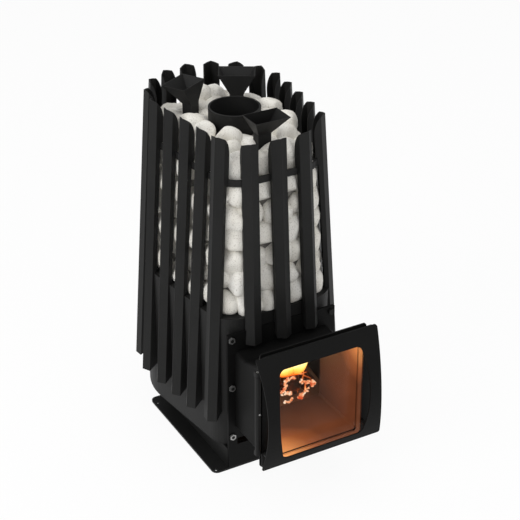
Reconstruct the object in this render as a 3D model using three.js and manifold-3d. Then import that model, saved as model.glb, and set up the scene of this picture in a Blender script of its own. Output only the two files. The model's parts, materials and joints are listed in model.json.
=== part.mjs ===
// Free-standing wood-fired sauna stove with a lamella stone cage.
// Millimetres, +Z up, door towards -Y, floor at z = 0, left-right symmetry plane x = 0.
import * as THREE from 'three';
import { mergeVertices } from 'three/addons/utils/BufferGeometryUtils.js';
import Module from 'manifold-3d';

const wasm = await Module();
wasm.setup();

// Clearances
const seat = 0.3;
const runFit = 0.4;

// Plan of the fin ridges at the cage top: round back, converging sides, rounded front
const cageTop = 832;
const ridgePlan = { radius: 168.5, backY: 66.5, corner: 75, frontY: -224 };
const sideTaper = THREE.MathUtils.degToRad(7);
const lean = 0.0662;

// Cage fins
const finHalfWidth = 18.75;
const finRidgeRise = 11.5;
const finSheet = 2.5;
const finPitch = 64.2;
const finsPerSide = 8;
const frontFinX = 71;
const frontFinSetback = 5;
const frontFinTurn = THREE.MathUtils.degToRad(15);
const frontFinDrop = 16;
const sideFinBottom = 130;
const frontFinBottom = 334;
const finTabDepth = 28;
const finTopCurve = 47;
const finLipDepth = 22;
const finHeelSlope = 0.9;
const finSectionDepth = 60;

// Hoop band around the stones
const ringBottom = 715.5;
const ringHeight = 16;
const ringSheet = 4;
const ringInset = 14.6;

// Base and pedestal
const baseHalfWidth = 180;
const baseFrontY = -234;
const baseBackY = 118;
const baseSheet = 5;
const baseCorner = 14;
const anchorHole = 4;
const anchorInset = 9;
const anchorBackInset = 27;
const pedestalHalfWidth = 141;
const pedestalBackY = 95;
const pedestalSheet = 4;

// Firebox
const shellPlan = { radius: 183, backY: 66.5, corner: 65, frontY: -227.7 };
const shellSheet = 4;
const floorBottom = 56;
const floorSheet = 4;
const roofTop = 400;
const roofSheet = 6;
const hearthTop = 112;
const hearthSheet = 8;
const grateHalfX = 95;
const grateHalfY = 105;
const grateY = 20;
const grateHeight = 14;
const grateBars = 9;
const grateSlot = 10;
const grateLap = 12;
const panHalfX = 105;
const panFrontY = -150;
const panBackY = 140;
const panHeight = 36;
const panSheet = 2;
const baffleTop = 346;
const baffleSheet = 6;
const baffleFrontY = -110;
const baffleBackY = 190;

// Front plate and its bolts
const frontFaceY = -234;
const frontSheet = 6;
const frontTop = 370;
const slotHalfX = 118;
const slotBottom = 66;
const slotTop = 83;
const boltX = 131;
const boltLevels = [92, 228, 356];
const boltHead = 8;
const boltHeadHeight = 5;
const boltShank = 4;

// Fuel tunnel and door frame
const tunnelHalfX = 122;
const tunnelBottom = 112;
const tunnelTop = 322;
const tunnelMouthTop = 356;
const tunnelKneeY = -275;
const tunnelSheet = 4;
const tunnelCorner = 8;
const frameHalfX = 136;
const frameBottom = 98;
const frameTop = 398;
const frameBackY = -371;
const frameSheet = 4;

// Door
const leafRightX = 150;
const leafBottom = 100;
const leafTop = 394;
const leafSheet = 5;
const sealThick = 4;
const sealWidth = 9;
const sealGrow = 1;
const glassHalfX = 121;
const glassBottom = 111;
const glassTop = 384;
const glassThick = 4;
const viewHalfX = 112;
const viewBottom = 120;
const viewTop = 374;
const gasketThick = 1.5;

// Curved facade plate in front of the glass
const facadeHalfX = 155;
const facadeTop = 397;
const facadeBottom = 122;
const facadeTopY = -389;
const facadeMidY = -431;
const facadeBottomY = -418;
const facadeSheet = 3;
const facadeWaist = 9;
const facadeCorner = 5;
const windowHalfX = 103;
const windowTop = 364;
const windowBottom = 142;
const windowBulge = 14;
const windowCorner = 16;
const spacerRadius = 6;
const spacerX = 128;
const spacerLevels = [140, 376];

// Hinge
const hingeX = -143;
const hingeY = -378;
const rodRadius = 4;
const tubeRadius = 7;
const tubeBottom = 150;
const tubeTop = 346;
const lugHeight = 12;
const lugRadius = 6.5;
const leafLeftX = hingeX + tubeRadius + seat;

// Flue collar, stones and water funnels
const flueY = -14;
const flueRadius = 60;
const flueSheet = 4.5;
const flueTop = 815;
const stoneEdgeTop = 768;
const stoneCrown = 788;
const stoneInset = 24;
const funnelRimX = 43;
const funnelRimY = 31;
const funnelTop = 845;
const funnelBowl = 45;
const stemHalfX = 16;
const stemHalfY = 12;
const stemShift = funnelRimY - stemHalfY;
const stemBottom = 600;
const funnelSheet = 1.6;
const funnelPlaces = [
  { name: 'water_funnel_front', x: 0, y: -160, turn: 0 },
  { name: 'water_funnel_back_left', x: -69.5, y: 103.5, turn: (-5 * Math.PI) / 6 },
  { name: 'water_funnel_back_right', x: 69.5, y: 103.5, turn: (5 * Math.PI) / 6 },
];

const paint = (color, roughness, metalness) => new THREE.MeshStandardMaterial({ color, roughness, metalness });
const blackCoat = paint(0x2b2b2a, 0.55, 0.35);
const bareSteel = paint(0x9b9a96, 0.4, 0.9);
const hotSteel = paint(0x4a3a32, 0.7, 0.6);
const castIron = paint(0x33302d, 0.8, 0.5);
const ropeGrey = paint(0x8d8b86, 0.95, 0.0);
const clearGlass = paint(0x6b5a4c, 0.08, 0.0);
clearGlass.transparent = true;
clearGlass.opacity = 0.35;
const paleStone = paint(0xdedbd2, 0.9, 0.0);

const part = new THREE.Group();
part.name = 'sauna_stove';

const place = (name, geometry, material, parent = part) => {
  const mesh = new THREE.Mesh(geometry, material.clone());
  mesh.name = name;
  parent.add(mesh);
  return mesh;
};

const solidOf = (geometry) => {
  const bare = geometry.clone();
  bare.deleteAttribute('normal');
  bare.deleteAttribute('uv');
  const welded = mergeVertices(bare, 1e-4);
  return new wasm.Manifold(new wasm.Mesh({
    numProp: 3,
    vertProperties: new Float32Array(welded.attributes.position.array),
    triVerts: new Uint32Array(welded.index.array),
  }));
};

const geometryOf = (solid) => {
  const mesh = solid.getMesh();
  const geometry = new THREE.BufferGeometry();
  const xyz = new Float32Array(mesh.numVert * 3);
  for (let i = 0; i < mesh.numVert; i += 1) {
    xyz[3 * i] = mesh.vertProperties[mesh.numProp * i];
    xyz[3 * i + 1] = mesh.vertProperties[mesh.numProp * i + 1];
    xyz[3 * i + 2] = mesh.vertProperties[mesh.numProp * i + 2];
  }
  geometry.setAttribute('position', new THREE.BufferAttribute(xyz, 3));
  geometry.setIndex(Array.from(mesh.triVerts));
  const flat = geometry.toNonIndexed();
  flat.computeVertexNormals();
  return flat;
};

const box = (x0, x1, y0, y1, z0, z1) => {
  const geometry = new THREE.BoxGeometry(x1 - x0, y1 - y0, z1 - z0);
  return geometry.translate((x0 + x1) / 2, (y0 + y1) / 2, (z0 + z1) / 2);
};

const cylinderZ = (radius, z0, z1, x, y, sides = 32) => {
  const geometry = new THREE.CylinderGeometry(radius, radius, z1 - z0, sides);
  return geometry.rotateX(Math.PI / 2).translate(x, y, (z0 + z1) / 2);
};

const cylinderY = (radius, y0, y1, x, z, sides = 20) => {
  const geometry = new THREE.CylinderGeometry(radius, radius, y1 - y0, sides);
  return geometry.translate(x, (y0 + y1) / 2, z);
};

const slab = (shape, z0, z1, curveSegments = 3) => {
  const geometry = new THREE.ExtrudeGeometry(shape, { depth: z1 - z0, bevelEnabled: false, curveSegments });
  return geometry.translate(0, 0, z0);
};

// A shape drawn in x and z, extruded from y0 back to y1
const panel = (shape, y0, y1, curveSegments = 3) => {
  const geometry = new THREE.ExtrudeGeometry(shape, { depth: y1 - y0, bevelEnabled: false, curveSegments });
  return geometry.rotateX(Math.PI / 2).translate(0, y1, 0);
};

const roundedRect = (x0, x1, y0, y1, radius, Kind = THREE.Shape) => {
  const shape = new Kind();
  shape.moveTo(x0 + radius, y0);
  shape.lineTo(x1 - radius, y0);
  shape.absarc(x1 - radius, y0 + radius, radius, -Math.PI / 2, 0, false);
  shape.lineTo(x1, y1 - radius);
  shape.absarc(x1 - radius, y1 - radius, radius, 0, Math.PI / 2, false);
  shape.lineTo(x0 + radius, y1);
  shape.absarc(x0 + radius, y1 - radius, radius, Math.PI / 2, Math.PI, false);
  shape.lineTo(x0, y0 + radius);
  shape.absarc(x0 + radius, y0 + radius, radius, Math.PI, 1.5 * Math.PI, false);
  return shape;
};

const circle = (x, y, radius, Kind = THREE.Path) => {
  const outline = new Kind();
  for (let quarter = 0; quarter < 4; quarter += 1) {
    outline.absarc(x, y, radius, (quarter * Math.PI) / 2, ((quarter + 1) * Math.PI) / 2, false);
  }
  return outline;
};

// Closed body through rows of points, each row a convex loop
const loft = (rows) => {
  const around = rows[0].length;
  const last = around * (rows.length - 1);
  const index = [];
  for (let k = 1; k < around - 1; k += 1) {
    index.push(0, k + 1, k, last, last + k, last + k + 1);
  }
  for (let a = 0; a < last; a += 1) {
    const b = (a + 1) % around === 0 ? a + 1 - around : a + 1;
    index.push(a, b, b + around, a, b + around, a + around);
  }
  const geometry = new THREE.BufferGeometry();
  geometry.setAttribute('position', new THREE.Float32BufferAttribute(rows.flat(2), 3));
  geometry.setIndex(index);
  return geometry;
};

// Centre of the rounded front corner of a plan, on the right side
const cornerCentre = (plan) => {
  const y = plan.frontY + plan.corner;
  const x = (plan.radius - plan.corner + Math.sin(sideTaper) * (y - plan.backY)) / Math.cos(sideTaper);
  return new THREE.Vector2(x, y);
};

// Counter-clockwise outline of a plan grown outward by the given offset
const planOutline = (plan, offset = 0, backSegments = 40, cornerSegments = 12) => {
  const c = cornerCentre(plan);
  const outline = [];
  const arc = (x, y, radius, from, to, segments) => {
    for (let i = 0; i <= segments; i += 1) {
      const a = from + ((to - from) * i) / segments;
      outline.push(new THREE.Vector2(x + radius * Math.cos(a), y + radius * Math.sin(a)));
    }
  };
  const radius = plan.radius + offset;
  const corner = plan.corner + offset;
  arc(0, plan.backY, radius, -sideTaper, Math.PI + sideTaper, backSegments);
  arc(-c.x, c.y, corner, Math.PI + sideTaper, 1.5 * Math.PI, cornerSegments);
  arc(c.x, c.y, corner, 1.5 * Math.PI, 2 * Math.PI - sideTaper, cornerSegments);
  return outline;
};

// Point and outward normal on the right half of a plan, by arc length from the back centre
const planFromBack = (plan, distance) => {
  const c = cornerCentre(plan);
  const backLength = plan.radius * (Math.PI / 2 + sideTaper);
  const start = new THREE.Vector2(plan.radius * Math.cos(sideTaper), plan.backY - plan.radius * Math.sin(sideTaper));
  const end = new THREE.Vector2(c.x + plan.corner * Math.cos(sideTaper), c.y - plan.corner * Math.sin(sideTaper));
  const sideLength = start.distanceTo(end);
  if (distance <= backLength) {
    const a = Math.PI / 2 - distance / plan.radius;
    return { x: plan.radius * Math.cos(a), y: plan.backY + plan.radius * Math.sin(a), normal: a };
  }
  if (distance <= backLength + sideLength) {
    const p = start.clone().lerp(end, (distance - backLength) / sideLength);
    return { x: p.x, y: p.y, normal: -sideTaper };
  }
  const a = -sideTaper - (distance - backLength - sideLength) / plan.corner;
  return { x: c.x + plan.corner * Math.cos(a), y: c.y + plan.corner * Math.sin(a), normal: a };
};

const shellOuter = planOutline(shellPlan);
const shellInner = planOutline(shellPlan, -shellSheet);
const ringOuter = planOutline(ridgePlan, -ringInset);
const ringInner = planOutline(ridgePlan, -ringInset - ringSheet);
const ringTop = ringBottom + ringHeight;
const frontBackY = frontFaceY + frontSheet;

// Base plate with anchor holes
const baseShape = roundedRect(-baseHalfWidth, baseHalfWidth, baseFrontY, baseBackY, baseCorner);
for (const side of [-1, 1]) {
  const x = side * (baseHalfWidth - anchorInset);
  baseShape.holes.push(circle(x, baseFrontY + anchorInset, anchorHole));
  baseShape.holes.push(circle(x, baseBackY - anchorBackInset, anchorHole));
}
place('base_plate', slab(baseShape, 0, baseSheet), blackCoat);

// Pedestal side walls under the firebox
const pedestalTop = floorBottom - seat;
for (const [name, side] of [['pedestal_left', -1], ['pedestal_right', 1]]) {
  const outer = side * pedestalHalfWidth;
  const inner = side * (pedestalHalfWidth - pedestalSheet);
  const low = Math.min(outer, inner);
  const high = Math.max(outer, inner);
  place(name, box(low, high, frontBackY + seat, pedestalBackY, baseSheet + seat, pedestalTop), blackCoat);
}

// Front plate with the tunnel opening, the air slot and the bolt holes
const tunnelShape = (grow, top = tunnelTop, Kind = THREE.Shape) => roundedRect(
  -tunnelHalfX - grow,
  tunnelHalfX + grow,
  tunnelBottom - grow,
  top + grow,
  tunnelCorner + grow,
  Kind,
);
const slotShape = (Kind) => roundedRect(-slotHalfX, slotHalfX, slotBottom, slotTop, 3, Kind);
const frontShape = roundedRect(-pedestalHalfWidth, pedestalHalfWidth, baseSheet + seat, frontTop, 2);
frontShape.holes.push(tunnelShape(seat, tunnelTop, THREE.Path));
frontShape.holes.push(slotShape(THREE.Path));
for (const side of [-1, 1]) {
  for (const z of boltLevels) {
    frontShape.holes.push(circle(side * boltX, z, boltShank + seat));
  }
}
place('front_plate', panel(frontShape, frontFaceY, frontBackY), blackCoat);

boltLevels.forEach((z, level) => {
  for (const [label, side] of [['left', -1], ['right', 1]]) {
    const headBack = frontFaceY - seat;
    const head = cylinderY(boltHead, headBack - boltHeadHeight, headBack, side * boltX, z, 6);
    const shank = cylinderY(boltShank, headBack - 1, frontBackY + 2, side * boltX, z);
    place(`front_bolt_${label}_${level + 1}`, geometryOf(solidOf(head).add(solidOf(shank))), bareSteel);
  }
});

// Firebox floor, shell and roof
place('firebox_floor', slab(new THREE.Shape(shellOuter), floorBottom, floorBottom + floorSheet), blackCoat);
const shellShape = new THREE.Shape(shellOuter);
shellShape.holes.push(new THREE.Path(shellInner));
const shellBottom = floorBottom + floorSheet + seat;
const shellTop = roofTop - roofSheet - seat;
const shellFront = shellPlan.frontY;
const tunnelBackY = Math.min(...shellInner.filter((p) => p.x > tunnelHalfX + seat).map((p) => p.y));
const shellSolid = solidOf(slab(shellShape, shellBottom, shellTop))
  .subtract(solidOf(panel(tunnelShape(seat), shellFront - 5, tunnelBackY + 5)))
  .subtract(solidOf(panel(slotShape(), shellFront - 5, shellFront + shellSheet + 5)));
place('firebox_shell', geometryOf(shellSolid), blackCoat);
const roofShape = new THREE.Shape(shellOuter);
roofShape.holes.push(circle(0, flueY, flueRadius - flueSheet));
place('firebox_roof', slab(roofShape, roofTop - roofSheet, roofTop, 8), blackCoat);

// Hearth plate, grate and ash pan
const hearthShape = new THREE.Shape(planOutline(shellPlan, -shellSheet - seat));
hearthShape.holes.push(roundedRect(-grateHalfX, grateHalfX, grateY - grateHalfY, grateY + grateHalfY, 6, THREE.Path));
place('hearth_plate', slab(hearthShape, hearthTop - hearthSheet, hearthTop), hotSteel);
const grateShape = roundedRect(
  -grateHalfX - grateLap,
  grateHalfX + grateLap,
  grateY - grateHalfY - grateLap,
  grateY + grateHalfY + grateLap,
  8,
);
const gratePitch = (2 * grateHalfX) / grateBars;
for (let i = 0; i < grateBars; i += 1) {
  const x = -grateHalfX + gratePitch * (i + 0.5);
  const reach = grateHalfY - 8;
  grateShape.holes.push(roundedRect(x - grateSlot / 2, x + grateSlot / 2, grateY - reach, grateY + reach, 4, THREE.Path));
}
place('grate', slab(grateShape, hearthTop + seat, hearthTop + seat + grateHeight), castIron);
const panBottom = floorBottom + floorSheet + seat;
const panOutside = solidOf(slab(roundedRect(-panHalfX, panHalfX, panFrontY, panBackY, 8), panBottom, panBottom + panHeight));
const panInside = roundedRect(
  -panHalfX + panSheet,
  panHalfX - panSheet,
  panFrontY + panSheet,
  panBackY - panSheet,
  8 - panSheet,
);
const panHollow = solidOf(slab(panInside, panBottom + panSheet, panBottom + panHeight + 5));
place('ash_pan', geometryOf(panOutside.subtract(panHollow)), hotSteel);

// Flame baffle across the firebox below the roof
const baffleSpan = box(-400, 400, baffleFrontY, baffleBackY, baffleTop - baffleSheet - 5, baffleTop + 5);
const bafflePlan = new THREE.Shape(planOutline(shellPlan, -shellSheet - seat));
const bafflePlate = solidOf(slab(bafflePlan, baffleTop - baffleSheet, baffleTop));
place('flame_baffle', geometryOf(bafflePlate.intersect(solidOf(baffleSpan))), hotSteel);

// Flue collar standing on the roof
const collarShape = circle(0, flueY, flueRadius, THREE.Shape);
collarShape.holes.push(circle(0, flueY, flueRadius - flueSheet));
place('flue_collar', slab(collarShape, roofTop + seat, flueTop, 8), blackCoat);

// Hoop band that the fin tabs hook over
const ringShape = new THREE.Shape(ringOuter);
ringShape.holes.push(new THREE.Path(ringInner));
place('hoop_ring', slab(ringShape, ringBottom, ringTop), blackCoat);

// Space that the firebox, the front plate and the hoop band keep clear of the fins
const grown = (plan, offset, z0, z1) => solidOf(slab(new THREE.Shape(planOutline(plan, offset)), z0, z1));
const finKeepOut = grown(shellPlan, seat, floorBottom, roofTop + seat)
  .add(grown(ridgePlan, seat - ringInset, ringBottom - seat, ringTop + seat))
  .add(solidOf(box(
    -pedestalHalfWidth - seat,
    pedestalHalfWidth + seat,
    frontFaceY - seat,
    frontBackY + seat,
    baseSheet,
    frontTop + seat,
  )));

// Folded sheet section of a fin: ridge outward, lips inward
const finSection = () => {
  const slope = finRidgeRise / finHalfWidth;
  const inside = finSheet * Math.hypot(1, slope);
  const w = finHalfWidth - finSheet;
  const deep = -finSectionDepth - 20;
  return new THREE.Shape([
    new THREE.Vector2(0, 0),
    new THREE.Vector2(-finRidgeRise, finHalfWidth),
    new THREE.Vector2(deep, finHalfWidth),
    new THREE.Vector2(deep, w),
    new THREE.Vector2(-inside - w * slope, w),
    new THREE.Vector2(-inside, 0),
    new THREE.Vector2(-inside - w * slope, -w),
    new THREE.Vector2(deep, -w),
    new THREE.Vector2(deep, -finHalfWidth),
    new THREE.Vector2(-finRidgeRise, -finHalfWidth),
  ]);
};

// Lean of a fin about the cage top, and its place on the plan
const finLean = new THREE.Matrix4().set(1, 0, -lean, lean * cageTop, 0, 1, 0, 0, 0, 0, 1, 0, 0, 0, 0, 1);
const finStand = (spot) => new THREE.Matrix4().makeRotationZ(spot.normal).setPosition(spot.x, spot.y, 0);

const makeFin = (name, spot, top, bottom) => {
  const inward = (z, depth) => new THREE.Vector2(lean * (cageTop - z) - depth, z);
  const profile = [new THREE.Vector2(120, bottom), new THREE.Vector2(120, top), inward(top, 0)];
  const curveSteps = 8;
  for (let i = 1; i <= curveSteps; i += 1) {
    const a = ((Math.PI / 2) * i) / curveSteps;
    profile.push(inward(top - finTopCurve * (1 - Math.cos(a)), finTabDepth * Math.sin(a)));
  }
  profile.push(inward(ringBottom, finTabDepth));
  profile.push(inward(ringBottom, finLipDepth));
  profile.push(inward(roofTop, finLipDepth));
  profile.push(inward(roofTop, finSectionDepth));
  profile.push(inward(bottom + finHeelSlope * (finSectionDepth - finRidgeRise), finSectionDepth));
  profile.push(inward(bottom, finRidgeRise));
  const bar = slab(finSection(), bottom - 1, top + 1);
  const cut = panel(new THREE.Shape(profile), -finHalfWidth - 5, finHalfWidth + 5);
  const blank = solidOf(bar.applyMatrix4(finLean).applyMatrix4(finStand(spot)));
  const fin = blank.intersect(solidOf(cut.applyMatrix4(finStand(spot)))).subtract(finKeepOut);
  place(name, geometryOf(fin), blackCoat);
};

const mirrored = (spot) => ({ x: -spot.x, y: spot.y, normal: Math.PI - spot.normal });
makeFin('fin_back', planFromBack(ridgePlan, 0), cageTop, sideFinBottom);
for (let i = 1; i <= finsPerSide; i += 1) {
  const spot = planFromBack(ridgePlan, i * finPitch);
  makeFin(`fin_right_${i}`, spot, cageTop, sideFinBottom);
  makeFin(`fin_left_${i}`, mirrored(spot), cageTop, sideFinBottom);
}
const frontTopZ = cageTop - frontFinDrop;
const centreSpot = { x: 0, y: ridgePlan.frontY, normal: -Math.PI / 2 };
const frontSpot = { x: frontFinX, y: ridgePlan.frontY + frontFinSetback, normal: frontFinTurn - Math.PI / 2 };
makeFin('fin_front_centre', centreSpot, frontTopZ, frontFinBottom);
makeFin('fin_front_right', frontSpot, frontTopZ, frontFinBottom);
makeFin('fin_front_left', mirrored(frontSpot), frontTopZ, frontFinBottom);

// Rectangular funnel: flared bowl on a stem, open at both ends
const funnelBody = (wall, over) => {
  const level = (halfX, halfY, shift, z) => [
    [-halfX + wall, shift - halfY + wall, z],
    [halfX - wall, shift - halfY + wall, z],
    [halfX - wall, shift + halfY - wall, z],
    [-halfX + wall, shift + halfY - wall, z],
  ];
  const rows = [
    level(stemHalfX, stemHalfY, stemShift, stemBottom + seat - over),
    level(stemHalfX, stemHalfY, stemShift, funnelTop - funnelBowl),
    level(funnelRimX, funnelRimY, 0, funnelTop),
  ];
  if (over > 0) {
    rows.push(level(funnelRimX, funnelRimY, 0, funnelTop + over));
  }
  return loft(rows);
};
const funnelGeometry = geometryOf(solidOf(funnelBody(0, 0)).subtract(solidOf(funnelBody(funnelSheet, 5))));

// Heaped stones as one bed, with room for the flue collar, the funnel stems and the turned front fins
const bedRows = [
  { z: roofTop + seat, offset: lean * (cageTop - roofTop) - stoneInset },
  { z: ringBottom - 2, offset: lean * (cageTop - ringBottom) - stoneInset },
  { z: ringBottom - 1, offset: -finTabDepth },
  { z: stoneEdgeTop, offset: -finTabDepth },
];
const bedLoft = () => {
  const xyz = [];
  const index = [];
  const outlines = bedRows.map((row) => planOutline(ridgePlan, row.offset, 32, 8));
  const around = outlines[0].length;
  outlines.forEach((outline, r) => outline.forEach((p) => xyz.push(p.x, p.y, bedRows[r].z)));
  for (let r = 0; r < bedRows.length - 1; r += 1) {
    for (let k = 0; k < around; k += 1) {
      const a = r * around + k;
      const b = r * around + ((k + 1) % around);
      index.push(a, b, b + around, a, b + around, a + around);
    }
  }
  const low = xyz.length / 3;
  xyz.push(0, flueY, bedRows[0].z);
  xyz.push(0, flueY, stoneCrown);
  const rim = (bedRows.length - 1) * around;
  for (let k = 0; k < around; k += 1) {
    const next = (k + 1) % around;
    index.push(low, next, k);
    index.push(low + 1, rim + k, rim + next);
  }
  const geometry = new THREE.BufferGeometry();
  geometry.setAttribute('position', new THREE.Float32BufferAttribute(xyz, 3));
  geometry.setIndex(index);
  return geometry;
};
let bed = solidOf(bedLoft()).subtract(solidOf(cylinderZ(flueRadius + seat, roofTop - 5, stoneCrown + 20, 0, flueY, 96)));
for (const spot of funnelPlaces) {
  const pocket = box(
    -stemHalfX - seat,
    stemHalfX + seat,
    stemShift - stemHalfY - seat,
    stemShift + stemHalfY + seat,
    stemBottom,
    stoneCrown + 20,
  );
  pocket.rotateZ(spot.turn).translate(spot.x, spot.y, 0);
  bed = bed.subtract(solidOf(pocket));
  const funnel = place(spot.name, funnelGeometry.clone(), blackCoat);
  funnel.position.set(spot.x, spot.y, 0);
  funnel.rotation.z = spot.turn;
}
for (const spot of [frontSpot, mirrored(frontSpot)]) {
  const finRoom = box(
    -finTabDepth - seat,
    100,
    -finHalfWidth - seat,
    finHalfWidth + seat,
    roofTop - 5,
    stoneCrown + 20,
  );
  bed = bed.subtract(solidOf(finRoom.applyMatrix4(finLean).applyMatrix4(finStand(spot))));
}
place('stone_bed', geometryOf(bed), paleStone);

// Fuel tunnel from inside the shell to the door frame, its roof rising towards the door
const tunnelFrontY = frameBackY + seat;
const tunnelRise = (tunnelMouthTop - tunnelTop) / (tunnelKneeY - tunnelFrontY);
const tunnelBody = (wall, over) => {
  const row = (y) => {
    const top = tunnelTop + tunnelRise * Math.max(0, tunnelKneeY - y);
    return tunnelShape(-wall, top).getPoints(3).slice(0, -1).map((p) => [p.x, y, p.y]);
  };
  return loft([row(tunnelBackY + over), row(tunnelKneeY), row(tunnelFrontY - over)]);
};
const hearthStep = box(
  -tunnelHalfX - 1,
  tunnelHalfX + 1,
  shellFront + shellSheet,
  tunnelBackY + 1,
  tunnelBottom - 1,
  hearthTop + seat,
);
const tunnelSolid = solidOf(tunnelBody(0, 0))
  .subtract(solidOf(tunnelBody(tunnelSheet, 5)))
  .subtract(solidOf(hearthStep));
place('fuel_tunnel', geometryOf(tunnelSolid), blackCoat);

// Door frame around the tunnel mouth
const frameFaceY = frameBackY - frameSheet;
const frameShape = roundedRect(-frameHalfX, frameHalfX, frameBottom, frameTop, 6);
frameShape.holes.push(tunnelShape(-tunnelSheet, tunnelMouthTop, THREE.Path));
place('door_frame', panel(frameShape, frameFaceY, frameBackY), blackCoat);

// Hinge rod held by two lugs on the frame
const lugRows = [
  ['hinge_lug_lower', tubeBottom - runFit - lugHeight],
  ['hinge_lug_upper', tubeTop + runFit],
];
const rodHole = () => solidOf(cylinderZ(rodRadius + seat, tubeBottom - 60, tubeTop + 60, hingeX, hingeY));
for (const [name, z] of lugRows) {
  const ear = solidOf(box(hingeX - lugRadius, -frameHalfX - seat, hingeY, frameBackY, z, z + lugHeight));
  const nose = solidOf(cylinderZ(lugRadius, z, z + lugHeight, hingeX, hingeY));
  place(name, geometryOf(ear.add(nose).subtract(rodHole())), blackCoat);
}
const rodBottom = tubeBottom - runFit - lugHeight;
const rodTop = tubeTop + runFit + lugHeight;
place('hinge_rod', cylinderZ(rodRadius, rodBottom, rodTop, hingeX, hingeY), bareSteel);

// Swinging door, turned about the hinge rod
const door = new THREE.Group();
door.name = 'door';
part.add(door);

const sealFaceY = frameFaceY - seat;
const leafBackY = sealFaceY - sealThick - seat;
const leafFaceY = leafBackY - leafSheet;
const sealShape = tunnelShape(sealGrow + sealWidth, tunnelMouthTop);
sealShape.holes.push(tunnelShape(sealGrow, tunnelMouthTop, THREE.Path));
place('door_seal', panel(sealShape, leafBackY + seat, sealFaceY), ropeGrey, door);

const leafShape = roundedRect(leafLeftX, leafRightX, leafBottom, leafTop, 6);
leafShape.holes.push(roundedRect(-viewHalfX, viewHalfX, viewBottom, viewTop, 10, THREE.Path));
place('door_leaf', panel(leafShape, leafFaceY, leafBackY), blackCoat, door);

const gasketFaceY = leafFaceY - seat - gasketThick;
const gasketShape = roundedRect(-glassHalfX, glassHalfX, glassBottom, glassTop, 10);
gasketShape.holes.push(roundedRect(-viewHalfX, viewHalfX, viewBottom, viewTop, 8, THREE.Path));
place('glass_gasket', panel(gasketShape, gasketFaceY, leafFaceY - seat), ropeGrey, door);
const glassBackY = gasketFaceY - seat;
const glassShape = roundedRect(-glassHalfX, glassHalfX, glassBottom, glassTop, 8);
place('door_glass', panel(glassShape, glassBackY - glassThick, glassBackY), clearGlass, door);

const tubeShape = circle(hingeX, hingeY, tubeRadius, THREE.Shape);
tubeShape.holes.push(circle(hingeX, hingeY, rodRadius + runFit));
place('hinge_tube', slab(tubeShape, tubeBottom, tubeTop), blackCoat, door);

// Facade arc through its top, middle and bottom points in the side view
const arcThrough = (p, q, r) => {
  const d = 2 * (p.x * (q.y - r.y) + q.x * (r.y - p.y) + r.x * (p.y - q.y));
  const pp = p.lengthSq();
  const qq = q.lengthSq();
  const rr = r.lengthSq();
  const x = (pp * (q.y - r.y) + qq * (r.y - p.y) + rr * (p.y - q.y)) / d;
  const y = (pp * (r.x - q.x) + qq * (p.x - r.x) + rr * (q.x - p.x)) / d;
  const centre = new THREE.Vector2(x, y);
  return { centre, radius: centre.distanceTo(p) };
};
const facadeMid = (facadeTop + facadeBottom) / 2;
const facadeArc = arcThrough(
  new THREE.Vector2(facadeTopY, facadeTop),
  new THREE.Vector2(facadeMidY, facadeMid),
  new THREE.Vector2(facadeBottomY, facadeBottom),
);
const facadeFaceY = (z, inset) => {
  const radius = facadeArc.radius - inset;
  return facadeArc.centre.x - Math.sqrt(radius ** 2 - (z - facadeArc.centre.y) ** 2);
};
const facadeStrip = () => {
  const steps = 24;
  const front = [];
  const back = [];
  for (let i = 0; i <= steps; i += 1) {
    const z = facadeBottom - 10 + ((facadeTop - facadeBottom + 20) * i) / steps;
    front.push(new THREE.Vector2(facadeFaceY(z, 0), z));
    back.push(new THREE.Vector2(facadeFaceY(z, facadeSheet), z));
  }
  const outline = new THREE.Shape([...front, ...back.reverse()]);
  const geometry = slab(outline, -facadeHalfX - 10, facadeHalfX + 10);
  const axes = new THREE.Matrix4().set(0, 0, 1, 0, 1, 0, 0, 0, 0, 1, 0, 0, 0, 0, 0, 1);
  return geometry.applyMatrix4(axes);
};
// Four-sided outline whose upright sides bow outward by the given amount, with rounded corners
const bowedOutline = (halfX, low, high, bow, radius) => {
  const corners = [];
  const steps = 12;
  const right = [];
  const mid = (low + high) / 2;
  const half = (high - low) / 2;
  const side = (z) => halfX + bow * (1 - ((z - mid) / half) ** 2);
  for (let i = 0; i <= 6; i += 1) {
    const a = -Math.PI / 2 + ((Math.PI / 2) * i) / 6;
    right.push(new THREE.Vector2(side(low + radius) - radius + radius * Math.cos(a), low + radius + radius * Math.sin(a)));
  }
  for (let i = 1; i < steps; i += 1) {
    const z = low + radius + ((high - low - 2 * radius) * i) / steps;
    right.push(new THREE.Vector2(side(z), z));
  }
  for (let i = 0; i <= 6; i += 1) {
    const a = ((Math.PI / 2) * i) / 6;
    right.push(new THREE.Vector2(side(high - radius) - radius + radius * Math.cos(a), high - radius + radius * Math.sin(a)));
  }
  corners.push(...right);
  corners.push(...right.map((p) => new THREE.Vector2(-p.x, p.y)).reverse());
  return corners;
};
const facadeOutline = new THREE.Shape(bowedOutline(facadeHalfX, facadeBottom, facadeTop, -facadeWaist, facadeCorner));
facadeOutline.holes.push(
  new THREE.Path(bowedOutline(windowHalfX, windowBottom, windowTop, windowBulge, windowCorner).reverse()),
);
const facadeReach = panel(facadeOutline, facadeMidY - 40, leafFaceY + 60);
place('door_facade', geometryOf(solidOf(facadeStrip()).intersect(solidOf(facadeReach))), blackCoat, door);

// Spacers that carry the facade on the leaf
const spacerNames = ['lower', 'upper'];
spacerLevels.forEach((z, level) => {
  for (const [label, side] of [['left', -1], ['right', 1]]) {
    const reach = Math.max(
      facadeFaceY(z - spacerRadius, facadeSheet),
      facadeFaceY(z + spacerRadius, facadeSheet),
    );
    const spacer = cylinderY(spacerRadius, reach + seat, leafFaceY - seat, side * spacerX, z);
    place(`facade_spacer_${spacerNames[level]}_${label}`, spacer, blackCoat, door);
  }
});

export default part;
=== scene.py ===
import json
import math
import random

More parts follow.
